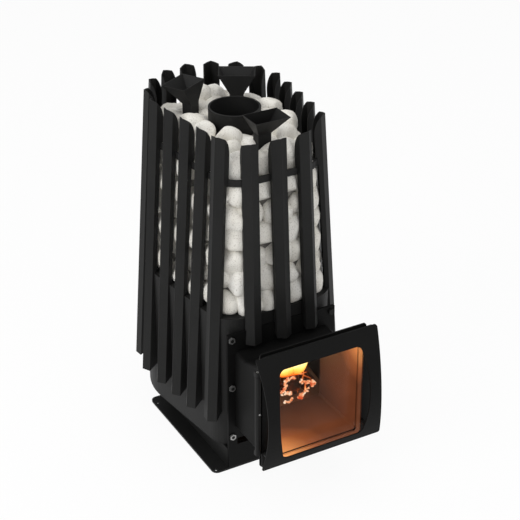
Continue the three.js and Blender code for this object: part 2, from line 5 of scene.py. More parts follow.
import bmesh
import bpy
from mathutils import Euler, Matrix, Vector, noise


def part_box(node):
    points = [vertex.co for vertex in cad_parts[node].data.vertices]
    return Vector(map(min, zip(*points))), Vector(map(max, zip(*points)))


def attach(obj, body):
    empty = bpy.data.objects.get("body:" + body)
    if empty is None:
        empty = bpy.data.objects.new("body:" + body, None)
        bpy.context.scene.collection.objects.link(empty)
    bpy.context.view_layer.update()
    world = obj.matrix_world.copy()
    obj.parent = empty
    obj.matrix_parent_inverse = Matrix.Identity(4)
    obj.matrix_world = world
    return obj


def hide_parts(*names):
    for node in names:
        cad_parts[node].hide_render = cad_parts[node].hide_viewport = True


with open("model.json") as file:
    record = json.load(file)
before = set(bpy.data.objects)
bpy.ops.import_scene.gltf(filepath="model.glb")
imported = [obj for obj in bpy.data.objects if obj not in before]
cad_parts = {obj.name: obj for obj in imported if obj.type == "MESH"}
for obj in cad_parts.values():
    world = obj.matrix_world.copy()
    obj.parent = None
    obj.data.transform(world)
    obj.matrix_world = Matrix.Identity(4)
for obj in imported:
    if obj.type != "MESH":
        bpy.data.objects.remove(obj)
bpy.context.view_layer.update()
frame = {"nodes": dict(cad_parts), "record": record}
nodes = frame["nodes"]

# Sizes in metres, in the frame of the CAD model
CAGE_TOP = 0.832
RIDGE_RADIUS = 0.1685
RIDGE_BACK_Y = 0.0665
RIDGE_CORNER = 0.075
RIDGE_FRONT_Y = -0.224
SIDE_TAPER = math.radians(7)
CORNER_Y = RIDGE_FRONT_Y + RIDGE_CORNER
CORNER_SPAN = RIDGE_RADIUS - RIDGE_CORNER + math.sin(SIDE_TAPER) * (CORNER_Y - RIDGE_BACK_Y)
CORNER_X = CORNER_SPAN / math.cos(SIDE_TAPER)
FIN_LEAN = 0.0662
FIN_TAB = 0.0283
ROOF_TOP = 0.4
RING_BOTTOM = 0.7155
STONE_INSET = 0.024
STONE_COURSES = 7
STONES_PER_COURSE = 20
STONE_FOOT = 0.024
STONE_OVER_RING = 0.0265
STONE_RADII = Vector((0.028, 0.034, 0.03))
STONE_SHIFT = 0.006
STONE_FULLNESS = 3.0
STONE_SWELL = 1.1
STONE_FLATS = 6
FLAT_WEAR = 0.85
STONE_LUMPS = 0.07
HEAP_LEVEL = 0.773
HEAP_DOME = 0.012
HEAP_REACH = 0.13
HEAP_PITCH = 0.048
HEAP_RADII = Vector((0.032, 0.028, 0.025))
HEAP_EDGE = 0.058
HEAP_ROOM = 0.024
HEAP_FULLNESS = 2.4
COLLAR_STONES = 11
COLLAR_STONE_RADIUS = 0.027
COLLAR_STONE_LEVEL = 0.777
STEM_DIP = 0.024
STEM_REACH = 0.09
FLUE_CENTRE = Vector((0.0, -0.014, 0.0))
FLUE_RADIUS = 0.06
STONE_CLEAR = 0.0008
SEED = 7

scene = bpy.context.scene
rng = random.Random(SEED)


class Shader:
    """A new node material, with short calls to add and link its nodes."""

    def __init__(self, name):
        self.material = bpy.data.materials.new(name)
        self.material.use_nodes = True
        self.tree = self.material.node_tree
        self.tree.nodes.clear()
        self.output = self.tree.nodes.new("ShaderNodeOutputMaterial")

    def add(self, kind, inputs=None, **settings):
        node = self.tree.nodes.new("ShaderNode" + kind)
        for key, value in settings.items():
            setattr(node, key, value)
        for key, value in (inputs or {}).items():
            self.feed(node.inputs[key], value)
        return node

    def feed(self, socket, value):
        if isinstance(value, bpy.types.NodeSocket):
            self.tree.links.new(value, socket)
        else:
            socket.default_value = value

    def ramp(self, factor, *stops):
        node = self.add("ValToRGB", {"Fac": factor})
        band = node.color_ramp
        while len(band.elements) < len(stops):
            band.elements.new(0.5)
        for element, (position, colour) in zip(band.elements, stops):
            element.position = position
            element.color = (*colour, 1.0)
        return node.outputs["Color"]

    def spread(self, value, low, high):
        node = self.add("MapRange", {"Value": value, "To Min": low, "To Max": high})
        return node.outputs["Result"]

    def noise(self, scale, detail=4.0, coordinates=None):
        place = coordinates or self.add("TexCoord").outputs["Object"]
        node = self.add("TexNoise", {"Vector": place, "Scale": scale, "Detail": detail})
        return node.outputs["Fac"]

    def bump(self, height, strength, distance):
        node = self.add("Bump", {"Height": height, "Strength": strength, "Distance": distance})
        return node.outputs["Normal"]

    def finish(self, surface):
        self.tree.links.new(surface, self.output.inputs["Surface"])
        return self.material


# depth scales the colour and specular; below 1 it makes a darker copy of the coat that paints shade
def black_coat(name="black_coat", depth=1.0):
    s = Shader(name)
    cloud = s.noise(9.0)
    grain = s.noise(1400.0, 2.0)
    dark = [depth * c for c in (0.009, 0.009, 0.0088)]
    light = [depth * c for c in (0.0135, 0.0135, 0.0131)]
    colour = s.ramp(cloud, (0.3, dark), (0.7, light))
    surface = s.add("BsdfPrincipled", {
        "Base Color": colour,
        "Roughness": s.spread(cloud, 0.46, 0.62),
        "Specular IOR Level": 0.18 * depth,
        "Normal": s.bump(grain, 0.12, 0.0003),
    })
    return s.finish(surface.outputs["BSDF"])


def pale_stone():
    s = Shader("pale_stone")
    cloud = s.noise(26.0, 5.0)
    speck = s.noise(420.0, 3.0)
    island = s.add("NewGeometry").outputs["Random Per Island"]
    body = s.ramp(cloud, (0.28, (0.72, 0.69, 0.625)), (0.5, (0.84, 0.82, 0.765)), (0.75, (0.89, 0.875, 0.83)))
    tint = s.ramp(island, (0.0, (0.9, 0.893, 0.875)), (1.0, (1.0, 1.0, 1.0)))
    fleck = s.ramp(speck, (0.34, (0.55, 0.53, 0.5)), (0.44, (1.0, 1.0, 1.0)))
    first = s.add("Mix", {6: body, 7: tint, 0: 1.0}, data_type="RGBA", blend_type="MULTIPLY")
    second = s.add("Mix", {6: first.outputs[2], 7: fleck, 0: 0.8}, data_type="RGBA", blend_type="MULTIPLY")
    surface = s.add("BsdfPrincipled", {
        "Base Color": second.outputs[2],
        "Roughness": s.spread(speck, 0.75, 0.95),
        "Specular IOR Level": 0.25,
        "Normal": s.bump(s.noise(160.0, 6.0), 0.35, 0.0015),
    })
    return s.finish(surface.outputs["BSDF"])


# Painted shade: a dark colour for the shade in the gaps between stones
def gap_shade():
    s = Shader("stone_gap_shade")
    colour = s.ramp(s.noise(60.0), (0.3, (0.1, 0.095, 0.085)), (0.7, (0.26, 0.25, 0.23)))
    surface = s.add("BsdfPrincipled", {"Base Color": colour, "Roughness": 0.95})
    return s.finish(surface.outputs["BSDF"])


def bare_steel():
    s = Shader("bare_steel")
    grain = s.noise(300.0, 3.0)
    colour = s.ramp(grain, (0.3, (0.3, 0.3, 0.3)), (0.7, (0.46, 0.455, 0.44)))
    surface = s.add("BsdfPrincipled", {
        "Base Color": colour,
        "Metallic": 0.9,
        "Roughness": s.spread(grain, 0.3, 0.48),
    })
    return s.finish(surface.outputs["BSDF"])


# Painted firelight: brown heat-tinted steel with a faint emission that stands in for the fire's light inside
# the firebox
def hot_steel():
    s = Shader("hot_steel")
    cloud = s.noise(14.0, 5.0)
    colour = s.ramp(cloud, (0.3, (0.1, 0.045, 0.024)), (0.7, (0.2, 0.095, 0.05)))
    surface = s.add("BsdfPrincipled", {
        "Base Color": colour,
        "Metallic": 0.3,
        "Roughness": s.spread(cloud, 0.45, 0.7),
        "Emission Color": colour,
        "Emission Strength": 0.25,
    })
    return s.finish(surface.outputs["BSDF"])


def cast_iron():
    s = Shader("cast_iron")
    grain = s.noise(220.0, 6.0)
    colour = s.ramp(grain, (0.3, (0.03, 0.027, 0.025)), (0.7, (0.06, 0.054, 0.05)))
    surface = s.add("BsdfPrincipled", {
        "Base Color": colour,
        "Roughness": 0.8,
        "Normal": s.bump(grain, 0.4, 0.001),
    })
    return s.finish(surface.outputs["BSDF"])


def seal_rope():
    s = Shader("seal_rope")
    place = s.add("TexCoord").outputs["Object"]
    weave = s.add("TexWave", {"Vector": place, "Scale": 160.0, "Distortion": 2.0}, bands_direction="DIAGONAL")
    colour = s.ramp(weave.outputs["Fac"], (0.2, (0.012, 0.011, 0.01)), (0.8, (0.04, 0.036, 0.033)))
    surface = s.add("BsdfPrincipled", {
        "Base Color": colour,
        "Roughness": 0.95,
        "Normal": s.bump(weave.outputs["Fac"], 0.5, 0.001),
    })
    return s.finish(surface.outputs["BSDF"])


def door_glass():
    s = Shader("door_glass")
    haze = s.ramp(s.noise(12.0), (0.3, (0.9, 0.87, 0.83)), (0.7, (0.97, 0.955, 0.93)))
    clear = s.add("BsdfTransparent", {"Color": haze})
    gloss = s.add("BsdfGlossy", {"Color": (0.6, 0.6, 0.6, 1.0), "Roughness": 0.04})
    edge = s.add("Fresnel", {"IOR": 1.12})
    surface = s.add("MixShader", {0: edge.outputs["Fac"], 1: clear.outputs["BSDF"], 2: gloss.outputs["BSDF"]})
    return s.finish(surface.outputs["Shader"])


# Painted firelight: copper colour with emission that stands in for the fire's light on the tunnel walls
def firelight_copper_paint():
    s = Shader("firelight_copper_paint")
    place = s.add("TexCoord").outputs["Object"]

    def pool_of_light(spot, reach):
        away = s.add("VectorMath", {0: place, 1: spot}, operation="DISTANCE")
        node = s.add("MapRange", {"Value": away.outputs["Value"], "From Min": reach, "From Max": 0.0})
        return node.outputs["Result"]

    depth = s.add("SeparateXYZ", {"Vector": place}).outputs["Y"]
    # Painted light: brighter deeper into the tunnel, with two painted pools of light near the fire
    near = s.add("MapRange", {"Value": depth, "From Min": -0.21, "From Max": -0.33, "To Max": 0.34})
    corner_light_pool = s.add("Math", {0: pool_of_light((-0.09, -0.385, 0.116), 0.13), 1: 0.78}, operation="MULTIPLY")
    upper_light_pool = s.add("Math", {0: pool_of_light((0.118, -0.375, 0.345), 0.1), 1: 0.6}, operation="MULTIPLY")
    pools_of_light = s.add("Math", {0: corner_light_pool.outputs["Value"], 1: upper_light_pool.outputs["Value"]}, operation="MAXIMUM")
    cloud = s.spread(s.noise(9.0, 3.0), -0.07, 0.07)
    base = s.add("Math", {0: near.outputs["Result"], 1: cloud}, operation="ADD")
    firelight_level = s.add("Math", {0: base.outputs["Value"], 1: pools_of_light.outputs["Value"]}, operation="ADD")
    colour = s.ramp(
        firelight_level.outputs["Value"],
        (0.0, (0.05, 0.024, 0.016)),
        (0.3, (0.13, 0.044, 0.022)),
        (0.6, (0.33, 0.105, 0.04)),
        (1.0, (0.92, 0.4, 0.14)),
    )
    surface = s.add("BsdfPrincipled", {
        "Base Color": colour,
        "Roughness": 0.6,
        "Specular IOR Level": 0.2,
        "Emission Color": colour,
        "Emission Strength": 0.7,
    })
    return s.finish(surface.outputs["BSDF"])


def charred_log():
    s = Shader("charred_log")
    place = s.add("TexCoord").outputs["Object"]
    cells = s.add("TexVoronoi", {"Vector": place, "Scale": 38.0}, feature="DISTANCE_TO_EDGE")
    cloud = s.noise(16.0, 5.0)
    crack = s.add("Math", {0: cells.outputs["Distance"], 1: s.spread(cloud, -0.18, 0.3)}, operation="ADD")
    glow = s.ramp(
        crack.outputs["Value"],
        (0.0, (1.0, 0.5, 0.2)),
        (0.03, (0.8, 0.16, 0.03)),
        (0.08, (0.08, 0.01, 0.002)),
        (0.14, (0.0, 0.0, 0.0)),
    )
    bark = s.ramp(cloud, (0.3, (0.02, 0.014, 0.01)), (0.7, (0.09, 0.045, 0.025)))
    surface = s.add("BsdfPrincipled", {
        "Base Color": bark,
        "Roughness": 0.9,
        "Emission Color": glow,
        "Emission Strength": 1.2,
        "Normal": s.bump(cloud, 0.6, 0.004),
    })
    return s.finish(surface.outputs["BSDF"])


def ember():
    s = Shader("ember")
    colour = s.ramp(
        s.noise(90.0, 3.0),
        (0.34, (0.75, 0.1, 0.03)),
        (0.48, (1.0, 0.42, 0.2)),
        (0.62, (1.0, 0.78, 0.6)),
    )
    light = s.add("Emission", {"Color": colour, "Strength": 1.1})
    return s.finish(light.outputs["Emission"])


def flame():
    s = Shader("flame")
    place = s.add("TexCoord").outputs["Generated"]
    height = s.add("SeparateXYZ", {"Vector": place}).outputs["Z"]
    lick = s.add("Math", {0: height, 1: s.spread(s.noise(30.0, 4.0), -0.16, 0.16)}, operation="ADD")
    colour = s.ramp(
        lick.outputs["Value"],
        (0.05, (0.75, 0.12, 0.01)),
        (0.22, (1.0, 0.5, 0.08)),
        (0.42, (1.0, 0.86, 0.36)),
        (1.0, (1.0, 0.7, 0.18)),
    )
    light = s.add("Emission", {"Color": colour, "Strength": 2.4})
    clear = s.add("BsdfTransparent")
    rim = s.add("LayerWeight", {"Blend": 0.3})
    parts = {0: rim.outputs["Facing"], 1: light.outputs["Emission"], 2: clear.outputs["BSDF"]}
    surface = s.add("MixShader", parts)
    return s.finish(surface.outputs["Shader"])


MATERIALS = {
    "black_coat": black_coat(),
    "hot_steel": hot_steel(),
    "cast_grate": cast_iron(),
    "pale_stone": pale_stone(),
    "bare_steel": bare_steel(),
    "seal_rope": seal_rope(),
    "door_glass": door_glass(),
}
# Painted firelight, also given to the glass gasket
PAINTED_FIRELIGHT = firelight_copper_paint()
FINISHES = {"glass_gasket": PAINTED_FIRELIGHT, "front_bolt_right_3": MATERIALS["black_coat"]}
# Painted shade: the pieces about the door get a darker copy of the fins' black coat
DOOR_SHADE_PIECES = ("fuel_tunnel", "front_plate", "door_frame", "door_facade", "door_leaf")
FINISHES.update(dict.fromkeys(DOOR_SHADE_PIECES, black_coat("shaded_black_coat", 0.5)))

# CAD nodes: finish by material slot, with slightly eased edges
for entry in frame["record"]["subparts"]:
    node = nodes[entry["node"]]
    node.data.materials.clear()
    node.data.materials.append(FINISHES.get(entry["node"], MATERIALS[entry["material_slot"]]))
    if entry["material_slot"] in ("black_coat", "bare_steel"):
        ease = node.modifiers.new("eased_edges", "BEVEL")
        ease.width = 0.0006
        ease.segments = 2
        ease.limit_method = "ANGLE"
        ease.angle_limit = math.radians(28)
        ease.harden_normals = True


def new_piece(name, mesh, material, body="stove", smooth=True):
    piece = bpy.data.objects.new(name, mesh)
    scene.collection.objects.link(piece)
    mesh.materials.append(material)
    if smooth:
        mesh.shade_smooth()
    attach(piece, body)
    return piece


def mesh_of(name, vertices, faces):
    mesh = bpy.data.meshes.new(name)
    mesh.from_pydata(vertices, [], faces)
    mesh.validate()
    return mesh


def ring_faces(rows, around):
    """Quads between neighbouring rings of points."""
    faces = []
    for row in range(rows - 1):
        for k in range(around):
            a = row * around + k
            b = row * around + (k + 1) % around
            faces.append((a, b, b + around, a + around))
    return faces


def plan_point(distance, offset):
    """Point and outward normal on the ridge plan grown by offset, by arc length from the back centre."""
    side = 1 if distance >= 0 else -1
    length = abs(distance)
    cos_taper = math.cos(SIDE_TAPER)
    sin_taper = math.sin(SIDE_TAPER)
    back = RIDGE_RADIUS * (math.pi / 2 + SIDE_TAPER)
    start = Vector((RIDGE_RADIUS * cos_taper, RIDGE_BACK_Y - RIDGE_RADIUS * sin_taper))
    end = Vector((CORNER_X + RIDGE_CORNER * cos_taper, CORNER_Y - RIDGE_CORNER * sin_taper))
    straight = (end - start).length
    turn = RIDGE_CORNER * (math.pi / 2 - SIDE_TAPER)
    if length <= back:
        angle = math.pi / 2 - length / RIDGE_RADIUS
        point = Vector((RIDGE_RADIUS * math.cos(angle), RIDGE_BACK_Y + RIDGE_RADIUS * math.sin(angle)))
    elif length <= back + straight:
        angle = -SIDE_TAPER
        point = start.lerp(end, (length - back) / straight)
    elif length <= back + straight + turn:
        angle = -SIDE_TAPER - (length - back - straight) / RIDGE_CORNER
        point = Vector((CORNER_X + RIDGE_CORNER * math.cos(angle), CORNER_Y + RIDGE_CORNER * math.sin(angle)))
    else:
        angle = -math.pi / 2
        point = Vector((CORNER_X - (length - back - straight - turn), RIDGE_FRONT_Y))
    normal = Vector((math.cos(angle), math.sin(angle)))
    point += normal * offset
    return Vector((side * point.x, point.y)), Vector((side * normal.x, normal.y))


def half_perimeter():
    """Length of the ridge plan from the back centre to the front centre."""
    drop = RIDGE_BACK_Y - CORNER_Y - (RIDGE_RADIUS - RIDGE_CORNER) * math.sin(SIDE_TAPER)
    straight = drop / math.cos(SIDE_TAPER)
    arcs = RIDGE_RADIUS * (math.pi / 2 + SIDE_TAPER) + RIDGE_CORNER * (math.pi / 2 - SIDE_TAPER)
    return arcs + straight + CORNER_X


def pebble_points():
    """Points and faces of a ball that each stone is shaped from."""
    ball = bmesh.new()
    bmesh.ops.create_icosphere(ball, subdivisions=3, radius=1.0)
    points = [v.co.copy() for v in ball.verts]
    faces = [[v.index for v in f.verts] for f in ball.faces]
    ball.free()
    return points, faces


BALL_POINTS, BALL_FACES = pebble_points()


def stem_section(name):
    """Foot, half sides and level of a funnel's stem, from the lowest points of its node."""
    points = [nodes[name].matrix_world @ v.co for v in nodes[name].data.vertices]
    foot = min(p.z for p in points)
    low = sorted({(round(p.x, 5), round(p.y, 5)) for p in points if p.z < foot + 0.001})
    low = [Vector(p) for p in low]
    centre = sum(low, Vector((0.0, 0.0))) / len(low)
    corners = sorted(low, key=lambda p: -(p - centre).length)[:4]
    corners.sort(key=lambda p: math.atan2(p.y - centre.y, p.x - centre.x))
    return centre, (corners[1] - corners[0]) / 2, (corners[2] - corners[1]) / 2, foot


STEMS = [stem_section(name) for name in sorted(nodes) if name.startswith("water_funnel")]


def clear_of_stems(point):
    """The point itself, or one pushed out of the funnel stem it lies in."""
    for centre, first, second, foot in STEMS:
        away = point.to_2d() - centre
        sides = [(away.dot(half.normalized()), half) for half in (first, second)]
        room = [half.length + STONE_CLEAR - abs(share) for share, half in sides]
        if point.z > foot and min(room) > 0:
            share, half = sides[room.index(min(room))]
            push = half.normalized() * math.copysign(min(room), share)
            return point + push.to_3d()
    return point


def clear_of_flue(point):
    """The point itself, or the nearest one outside the flue collar."""
    away = (point - FLUE_CENTRE).to_2d()
    if away.length < FLUE_RADIUS + STONE_CLEAR:
        away *= (FLUE_RADIUS + STONE_CLEAR) / away.length
    return Vector((FLUE_CENTRE.x + away.x, FLUE_CENTRE.y + away.y, point.z))


def add_pebble(vertices, faces, centre, radii, turn, fullness=2.2):
    """Append one tumbled stone: a full rounded block with a few worn flats and gentle lumps."""
    flats = []
    for _ in range(STONE_FLATS):
        direction = Vector((rng.gauss(0, 1), rng.gauss(0, 1), rng.gauss(0, 1))).normalized()
        flats.append((direction, rng.uniform(0.72, 0.96)))
    offset = Vector((rng.uniform(-50, 50), rng.uniform(-50, 50), rng.uniform(-50, 50)))
    first = len(vertices)
    for point in BALL_POINTS:
        size = sum(abs(c) ** fullness for c in point) ** (1 / fullness)
        shaped = point * ((1.0 + STONE_LUMPS * noise.noise(point * 1.5 + offset)) / size)
        for direction, limit in flats:
            over = shaped.dot(direction) - limit
            if over > 0:
                shaped -= direction * over * FLAT_WEAR
        spread = Vector((shaped.x * radii[0], shaped.y * radii[1], shaped.z * radii[2]))
        vertices.append(clear_of_stems(clear_of_flue(centre + turn @ spread)))
    for face in BALL_FACES:
        middle = sum((vertices[first + i] for i in face), Vector()) / len(face)
        if clear_of_stems(middle) is middle:
            faces.append([first + i for i in face])


def random_turn(tilt):
    """Small random rotation about all three axes."""
    angles = (rng.uniform(-tilt, tilt), rng.uniform(-tilt, tilt), rng.uniform(-tilt, tilt))
    return Euler(angles).to_matrix()


def scatter(n):
    """Repeatable scatter between -1 and 1."""
    s = math.sin(12.9898 * n) * 43758.5453
    return 2 * (s - math.floor(s)) - 1


def stone_heap():
    """Courses of stones behind the fins and a heap on top."""
    vertices = []
    faces = []
    half = half_perimeter()
    step = (RING_BOTTOM + STONE_OVER_RING - ROOF_TOP - STONE_FOOT) / (STONE_COURSES - 1)
    for n in range(STONE_COURSES * STONES_PER_COURSE):
        course, k = divmod(n, STONES_PER_COURSE)
        share = (k + 0.5 * (course % 2) + 0.18 * scatter(n + 0.1)) / STONES_PER_COURSE
        level = ROOF_TOP + STONE_FOOT + step * course
        face = FIN_LEAN * (CAGE_TOP - level) - STONE_INSET if level < RING_BOTTOM else -FIN_TAB
        point, normal = plan_point(half * (2 * (share % 1.0) - 1), face - STONE_RADII.x)
        wide = STONE_RADII.y * (1 + 0.12 * scatter(n + 0.3))
        high = STONE_RADII.z * (1 + 0.1 * scatter(n + 0.4))
        centre = Vector((point.x, point.y, level + STONE_SHIFT * scatter(n + 0.2)))
        heading = Matrix.Rotation(math.atan2(normal.y, normal.x), 3, "Z")
        radii = (STONE_RADII.x, wide * STONE_SWELL, high * STONE_SWELL)
        add_pebble(vertices, faces, centre, radii, heading @ random_turn(0.1), STONE_FULLNESS)
    add_heap_top(vertices, faces)
    return mesh_of("stones", vertices, faces)


def inside_cage(x, y, margin):
    """Whether a plan point lies inside the ridge plan drawn in by margin."""
    side = abs(x) * math.cos(SIDE_TAPER) - (y - RIDGE_BACK_Y) * math.sin(SIDE_TAPER)
    if side > RIDGE_RADIUS - margin or y < RIDGE_FRONT_Y + margin:
        return False
    if y > RIDGE_BACK_Y and math.hypot(x, y - RIDGE_BACK_Y) > RIDGE_RADIUS - margin:
        return False
    if y < CORNER_Y and abs(x) > CORNER_X:
        return math.hypot(abs(x) - CORNER_X, y - CORNER_Y) < RIDGE_CORNER - margin
    return True


def stem_dip(x, y):
    """How much lower a stone lies beside a funnel's stem."""
    near = min(math.hypot(x - centre.x, y - centre.y) for centre, *_ in STEMS)
    return STEM_DIP * min(1.0, max(0.0, 2.0 - 2.0 * near / STEM_REACH))


def add_heap_top(vertices, faces):
    """Stones on top of the heap, and a ring of them round the flue collar."""
    rows = math.ceil(2 * RIDGE_RADIUS / HEAP_PITCH)
    for row in range(-rows, rows + 1):
        for column in range(-rows, rows + 1):
            n = 1000 + 40 * row + column
            x = (column + 0.5 * (row % 2)) * HEAP_PITCH + STONE_SHIFT * scatter(n + 0.1)
            y = row * HEAP_PITCH * 0.87 + STONE_SHIFT * scatter(n + 0.2)
            away = math.hypot(x - FLUE_CENTRE.x, y - FLUE_CENTRE.y) - FLUE_RADIUS
            if away <= HEAP_ROOM or not inside_cage(x, y, HEAP_EDGE):
                continue
            rise = HEAP_DOME * max(0.0, 1.0 - away / HEAP_REACH) + STONE_SHIFT * scatter(n + 0.3)
            radii = (HEAP_RADII.x * (1 + 0.12 * scatter(n + 0.4)), HEAP_RADII.y, HEAP_RADII.z)
            heading = Matrix.Rotation(math.pi * scatter(n + 0.5), 3, "Z")
            centre = Vector((x, y, HEAP_LEVEL + rise - stem_dip(x, y)))
            add_pebble(vertices, faces, centre, radii, heading @ random_turn(0.15), HEAP_FULLNESS)
    for k in range(COLLAR_STONES):
        angle = 2 * math.pi * (k + 0.2 * scatter(k + 0.6)) / COLLAR_STONES
        radius = COLLAR_STONE_RADIUS * (1 + 0.1 * scatter(k + 0.7))
        reach = FLUE_RADIUS + radius * 0.98
        place = Vector((reach * math.cos(angle), reach * math.sin(angle), COLLAR_STONE_LEVEL))
        place.z += STONE_SHIFT * scatter(k + 0.8)
        place.z -= stem_dip(FLUE_CENTRE.x + place.x, FLUE_CENTRE.y + place.y)
        heading = Matrix.Rotation(angle, 3, "Z")
        radii = (radius * 0.95, radius * 1.12, radius * 0.95)
        add_pebble(vertices, faces, FLUE_CENTRE + place, radii, heading @ random_turn(0.08), HEAP_FULLNESS)


stones = new_piece("stones", stone_heap(), MATERIALS["pale_stone"])


CORE_DEPTH = 0.02
CORE_DRAW_IN = 0.014
CORE_DROP = 0.008
CUTTER_LEVEL = 0.6


def gap_shade_core():
    """Dark sheet inside the heap that paints the shade seen in the gaps between stones."""
    levels = (
        (ROOF_TOP + 0.001, 0.0),
        (RING_BOTTOM - 0.01, 0.0),
        (RING_BOTTOM, -CORE_DRAW_IN),
        (HEAP_LEVEL - CORE_DROP, -CORE_DRAW_IN),
    )
    half = half_perimeter()
    steps = 72
    vertices = []
    for z, extra in levels:
        for k in range(steps):
            inset = FIN_LEAN * (CAGE_TOP - z) - STONE_INSET - CORE_DEPTH + extra
            point, _ = plan_point(-half + 2 * half * (k + 0.5) / steps, inset)
            vertices.append((point.x, point.y, z))
    faces = ring_faces(len(levels), steps)
    faces.append(tuple(range((len(levels) - 1) * steps, len(levels) * steps)))
    return mesh_of("stone_gap_shade_sheet", vertices, faces)


core = new_piece("stone_gap_shade_sheet", gap_shade_core(), gap_shade(), smooth=False)
cut = core.modifiers.new("flue_hole", "BOOLEAN")
cutter_mesh = bpy.data.meshes.new("flue_cutter")
tool = bmesh.new()
bmesh.ops.create_cone(
    tool,
    cap_ends=True,
    segments=48,
    radius1=FLUE_RADIUS + 0.001,
    radius2=FLUE_RADIUS + 0.001,
    depth=1.0,
    matrix=Matrix.Translation((FLUE_CENTRE.x, FLUE_CENTRE.y, CUTTER_LEVEL)),
)
for centre, first, second, _ in STEMS:
    halves = [half * (1 + STONE_CLEAR / half.length) for half in (first, second)]
    prism = Matrix.Translation((centre.x, centre.y, CUTTER_LEVEL))
    for axis, half in enumerate(halves):
        prism[0][axis], prism[1][axis] = 2 * half.x, 2 * half.y
    bmesh.ops.create_cube(tool, size=1.0, matrix=prism)
tool.to_mesh(cutter_mesh)
tool.free()
cutter = bpy.data.objects.new("flue_cutter", cutter_mesh)
scene.collection.objects.link(cutter)
cut.object = cutter
cut.operation = "DIFFERENCE"
bpy.context.view_layer.objects.active = core
with bpy.context.temp_override(object=core, active_object=core, selected_objects=[core]):
    bpy.ops.object.modifier_apply(modifier="flue_hole")
bpy.data.objects.remove(cutter)
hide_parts("stone_bed")


# Copper-toned lining of the fuel tunnel with painted firelight: its colour and emission stand in for the
# fire's light
tunnel_low, tunnel_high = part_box("fuel_tunnel")
TUNNEL_SHEET = 0.004
TUNNEL_BACK_TOP = 0.322
TUNNEL_KNEE_Y = -0.275
SKIN = 0.0004


def sleeve_mesh(name, half, low, rows, chamfer=0.0045):
    """Open sleeve with cut corners through rows of (y, top), seen from inside."""
    vertices = []
    for y, top in rows:
        near = half - chamfer
        loop = ((-near, low), (near, low), (half, low + chamfer), (half, top - chamfer))
        loop += ((near, top), (-near, top), (-half, top - chamfer), (-half, low + chamfer))
        vertices.extend((x, y, z) for x, z in loop)
    return mesh_of(name, vertices, ring_faces(len(rows), 8))


wall = TUNNEL_SHEET + SKIN
tunnel_rows = (
    (tunnel_high.y, TUNNEL_BACK_TOP - wall),
    (TUNNEL_KNEE_Y, TUNNEL_BACK_TOP - wall),
    (tunnel_low.y, tunnel_high.z - wall),
    (tunnel_low.y - 0.003, tunnel_high.z - wall),
)
lining = sleeve_mesh("tunnel_lining", tunnel_high.x - wall, tunnel_low.z + wall, tunnel_rows)
new_piece("tunnel_lining", lining, PAINTED_FIRELIGHT, smooth=False)

# Inner edge of the leaf's opening, with the same painted firelight
leaf_low, leaf_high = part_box("door_leaf")
VIEW_HALF = 0.112
VIEW_BOTTOM = 0.12
VIEW_TOP = 0.374
EDGE_SEAM = 0.003
edge_rows = ((leaf_high.y - EDGE_SEAM, VIEW_TOP - SKIN), (leaf_low.y, VIEW_TOP - SKIN))
view_edge = sleeve_mesh("view_edge", VIEW_HALF - SKIN, VIEW_BOTTOM + SKIN, edge_rows)
new_piece("view_edge", view_edge, PAINTED_FIRELIGHT, body="door", smooth=False)


def log_mesh(name, start, end, radius):
    """Split log between two points, a little lumpy."""
    axis = Vector(end) - Vector(start)
    turn = axis.to_track_quat("Z", "Y").to_matrix()
    rings = 14
    around = 18
    vertices = []
    for i in range(rings + 1):
        for k in range(around):
            angle = 2 * math.pi * k / around
            bulge = 1.0 + 0.16 * noise.noise(Vector((math.cos(angle) * 1.4, math.sin(angle) * 1.4, i * 0.35)))
            flat = 0.72 if math.cos(angle) < -0.55 else 1.0
            x = math.cos(angle) * radius * bulge * flat
            y = math.sin(angle) * radius * bulge
            vertices.append(Vector(start) + turn @ Vector((x, y, axis.length * i / rings)))
    faces = ring_faces(rings + 1, around)
    faces.append(tuple(reversed(range(around))))
    faces.append(tuple(range(rings * around, (rings + 1) * around)))
    return mesh_of(name, vertices, faces)


LOG = charred_log()
LOGS = (
    ((-0.115, -0.17, 0.143), (0.1, -0.155, 0.143), 0.03),
    ((-0.1, -0.07, 0.158), (0.11, -0.06, 0.158), 0.031),
    ((0.05, -0.2, 0.148), (0.105, -0.06, 0.2), 0.027),
    ((-0.03, -0.19, 0.2), (0.03, 0.03, 0.21), 0.026),
    ((0.1, -0.195, 0.14), (0.03, 0.02, 0.215), 0.02),
)
for number, (start, end, radius) in enumerate(LOGS, 1):
    new_piece(f"log_{number}", log_mesh(f"log_{number}", start, end, radius), LOG)

EMBER_Y = -0.205
EMBER_SPREAD = 0.005
EMBERS = (
    (0.046, 0.178), (0.036, 0.18), (0.029, 0.174), (0.028, 0.163), (0.022, 0.153), (0.02, 0.146),
    (0.031, 0.141), (0.041, 0.139), (0.071, 0.164), (0.079, 0.158), (0.088, 0.153), (0.099, 0.151),
    (0.106, 0.148), (0.1, 0.14), (0.09, 0.135), (0.081, 0.131), (0.074, 0.124), (0.069, 0.117),
    (0.073, 0.118), (0.03, 0.12), (0.042, 0.118),
)


def ember_bed():
    """Glowing crust around the burnt ends of the logs at the firebox mouth."""
    vertices = []
    faces = []
    for x, z in EMBERS:
        for _ in range(4):
            shift = [rng.uniform(-EMBER_SPREAD, EMBER_SPREAD) for _ in range(2)]
            centre = Vector((x + shift[0], EMBER_Y, z + shift[1]))
            radii = (rng.uniform(0.002, 0.006), 0.003, rng.uniform(0.0012, 0.003))
            add_pebble(vertices, faces, centre, radii, random_turn(0.9))
    return mesh_of("embers", vertices, faces)


new_piece("embers", ember_bed(), ember())

FLAME = flame()
FLAMES = (
    ((0.0, -0.195, 0.185), (0.026, 0.014, 0.085)),
    ((0.032, -0.2, 0.19), (0.028, 0.014, 0.08)),
    ((0.066, -0.195, 0.184), (0.026, 0.014, 0.07)),
    ((-0.05, -0.12, 0.19), (0.035, 0.02, 0.1)),
    ((0.03, -0.05, 0.2), (0.035, 0.025, 0.09)),
)


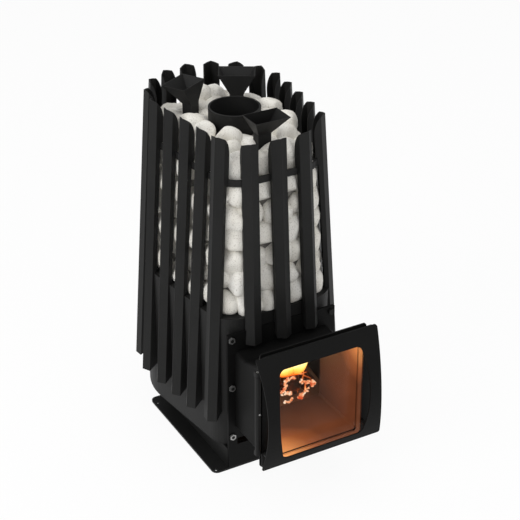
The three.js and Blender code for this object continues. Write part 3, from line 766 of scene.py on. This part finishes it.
def flame_mesh(name, foot, size):
    """Pointed tongue of flame standing on foot, with half widths and height in size."""
    around = 20
    rows = 16
    vertices = []
    for i in range(rows + 1):
        t = i / rows
        width = math.sin(math.pi * min(1.0, t * 0.82 + 0.18)) ** 0.8 * (1 - 0.25 * t)
        sway = 0.25 * math.sin(4 * t + foot[0] * 90) * size[0]
        for k in range(around):
            angle = 2 * math.pi * k / around
            ripple = 1.0 + 0.3 * noise.noise(Vector((math.cos(angle), math.sin(angle), t * 3 + foot[0] * 40)))
            x = foot[0] + sway + math.cos(angle) * size[0] * width * ripple
            y = foot[1] + math.sin(angle) * size[1] * width * ripple
            vertices.append((x, y, foot[2] + size[2] * t))
    faces = ring_faces(rows + 1, around)
    faces.append(tuple(reversed(range(around))))
    return mesh_of(name, vertices, faces)


for number, (foot, size) in enumerate(FLAMES, 1):
    new_piece(f"flame_{number}", flame_mesh(f"flame_{number}", foot, size), FLAME)

def cone_mesh(name, radii, depth, place, segments=16):
    """Closed cone frustum along the axis of place, its first radius at the back."""
    cone = bmesh.new()
    bmesh.ops.create_cone(
        cone,
        cap_ends=True,
        segments=segments,
        radius1=radii[0],
        radius2=radii[1],
        depth=depth,
        matrix=place,
    )
    mesh = bpy.data.meshes.new(name)
    cone.to_mesh(mesh)
    cone.free()
    return mesh


# Screw heads on the door frame's left edge and on the hinge tube, and black discs on the front bolts that
# paint the shade inside their sockets
SCREW_RADII = (0.0028, 0.0022)
SCREW_HEIGHT = 0.0016
SOCKET_SHADE_RADIUS = 0.0046
SOCKET_SHADE_HEIGHT = 0.0006
FACING_LEFT = Matrix.Rotation(-math.pi / 2, 4, "Y")
FACING_FRONT = Matrix.Rotation(math.pi / 2, 4, "X")
frame_low, frame_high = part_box("door_frame")
tube_low, tube_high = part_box("hinge_tube")
SCREWS = (
    ("frame_screw", "stove", (frame_low.x - 0.0008, (frame_low.y + frame_high.y) / 2, 0.385), FACING_LEFT),
    ("tube_screw", "door", ((tube_low.x + tube_high.x) / 2 + 0.001, tube_low.y - 0.0005, 0.25), FACING_FRONT),
)
for name, body, place, facing in SCREWS:
    head = cone_mesh(name, SCREW_RADII, SCREW_HEIGHT, Matrix.Translation(place) @ facing)
    new_piece(name, head, MATERIALS["bare_steel"], body=body, smooth=False)
for name in sorted(nodes):
    if name.startswith("front_bolt") and name not in FINISHES:
        bolt_low, bolt_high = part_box(name)
        middle = (bolt_low + bolt_high) / 2
        place = Matrix.Translation((middle.x, bolt_low.y, middle.z)) @ FACING_FRONT
        # Painted shade: a thin black disc on the bolt head for its dark socket
        socket = cone_mesh(name + "_socket_shade", (SOCKET_SHADE_RADIUS, SOCKET_SHADE_RADIUS), SOCKET_SHADE_HEIGHT, place, 6)
        new_piece(name + "_socket_shade", socket, MATERIALS["black_coat"], smooth=False)

# Stage: pale floor that stays white to the camera yet keeps a soft shadow
FLOOR_HALF = 20
FLOOR_WHITE = 0.93
floor_mesh = bpy.data.meshes.new("floor")
floor_corners = [(FLOOR_HALF * x, FLOOR_HALF * y, 0) for x, y in ((-1, -1), (1, -1), (1, 1), (-1, 1))]
floor_mesh.from_pydata(floor_corners, [], [(0, 1, 2, 3)])
floor = bpy.data.objects.new("floor", floor_mesh)
scene.collection.objects.link(floor)
floor.location.z = -0.0005
s = Shader("pale_floor")
matte = s.add("BsdfDiffuse", {"Color": (0.9, 0.9, 0.9, 1.0)})
white = s.add("Emission", {"Color": (1.0, 1.0, 1.0, 1.0), "Strength": 1.0})
path = s.add("LightPath")
seen = path.outputs["Is Camera Ray"]
for kind in ("Is Glossy Ray", "Is Transmission Ray"):
    seen = s.add("Math", {0: seen, 1: path.outputs[kind]}, operation="MAXIMUM").outputs["Value"]
share = s.add("Math", {0: seen, 1: FLOOR_WHITE}, operation="MULTIPLY").outputs["Value"]
mixed = s.add("MixShader", {0: share, 1: matte.outputs["BSDF"], 2: white.outputs["Emission"]})
floor_mesh.materials.append(s.finish(mixed.outputs["Shader"]))

world = bpy.data.worlds.new("studio")
scene.world = world
world.use_nodes = True
tree = world.node_tree
background = tree.nodes["Background"]
background.inputs["Color"].default_value = (1.0, 1.0, 1.0, 1.0)
strength = tree.nodes.new("ShaderNodeMapRange")
strength.inputs["To Min"].default_value = 0.45
strength.inputs["To Max"].default_value = 1.0
world_path = tree.nodes.new("ShaderNodeLightPath")
tree.links.new(world_path.outputs["Is Camera Ray"], strength.inputs["Value"])
tree.links.new(strength.outputs["Result"], background.inputs["Strength"])


def area_light(name, place, target, size, power):
    data = bpy.data.lights.new(name, "AREA")
    data.shape = "SQUARE"
    data.size = size
    data.energy = power
    lamp = bpy.data.objects.new(name, data)
    scene.collection.objects.link(lamp)
    lamp.location = place
    lamp.rotation_euler = (Vector(target) - Vector(place)).to_track_quat("-Z", "Y").to_euler()


AIM = (0.0, -0.05, 0.45)
area_light("key_left", (-3.2, -0.6, 2.4), AIM, 2.0, 62.0)
area_light("fill_front", (0.6, -4.0, 2.6), AIM, 2.5, 42.0)
area_light("top_soft", (0.2, 0.4, 4.0), AIM, 2.5, 45.0)

# Camera at the photograph's viewpoint
CAMERA_PLACE = Vector((-1.3853, -2.6118, 2.0508))
CAMERA_PITCH = math.radians(28.98)
CAMERA_HEADING = math.radians(-29.18)
FOCAL_PIXELS = 1415.9
PHOTO_PIXELS = 520
camera_data = bpy.data.cameras.new("camera")
camera_data.sensor_width = 36.0
camera_data.lens = 36.0 * FOCAL_PIXELS / PHOTO_PIXELS
camera = bpy.data.objects.new("camera", camera_data)
scene.collection.objects.link(camera)
camera.location = CAMERA_PLACE
camera.rotation_euler = Euler((math.pi / 2 - CAMERA_PITCH, 0.0, CAMERA_HEADING))
scene.camera = camera
scene.view_settings.view_transform = "Standard"
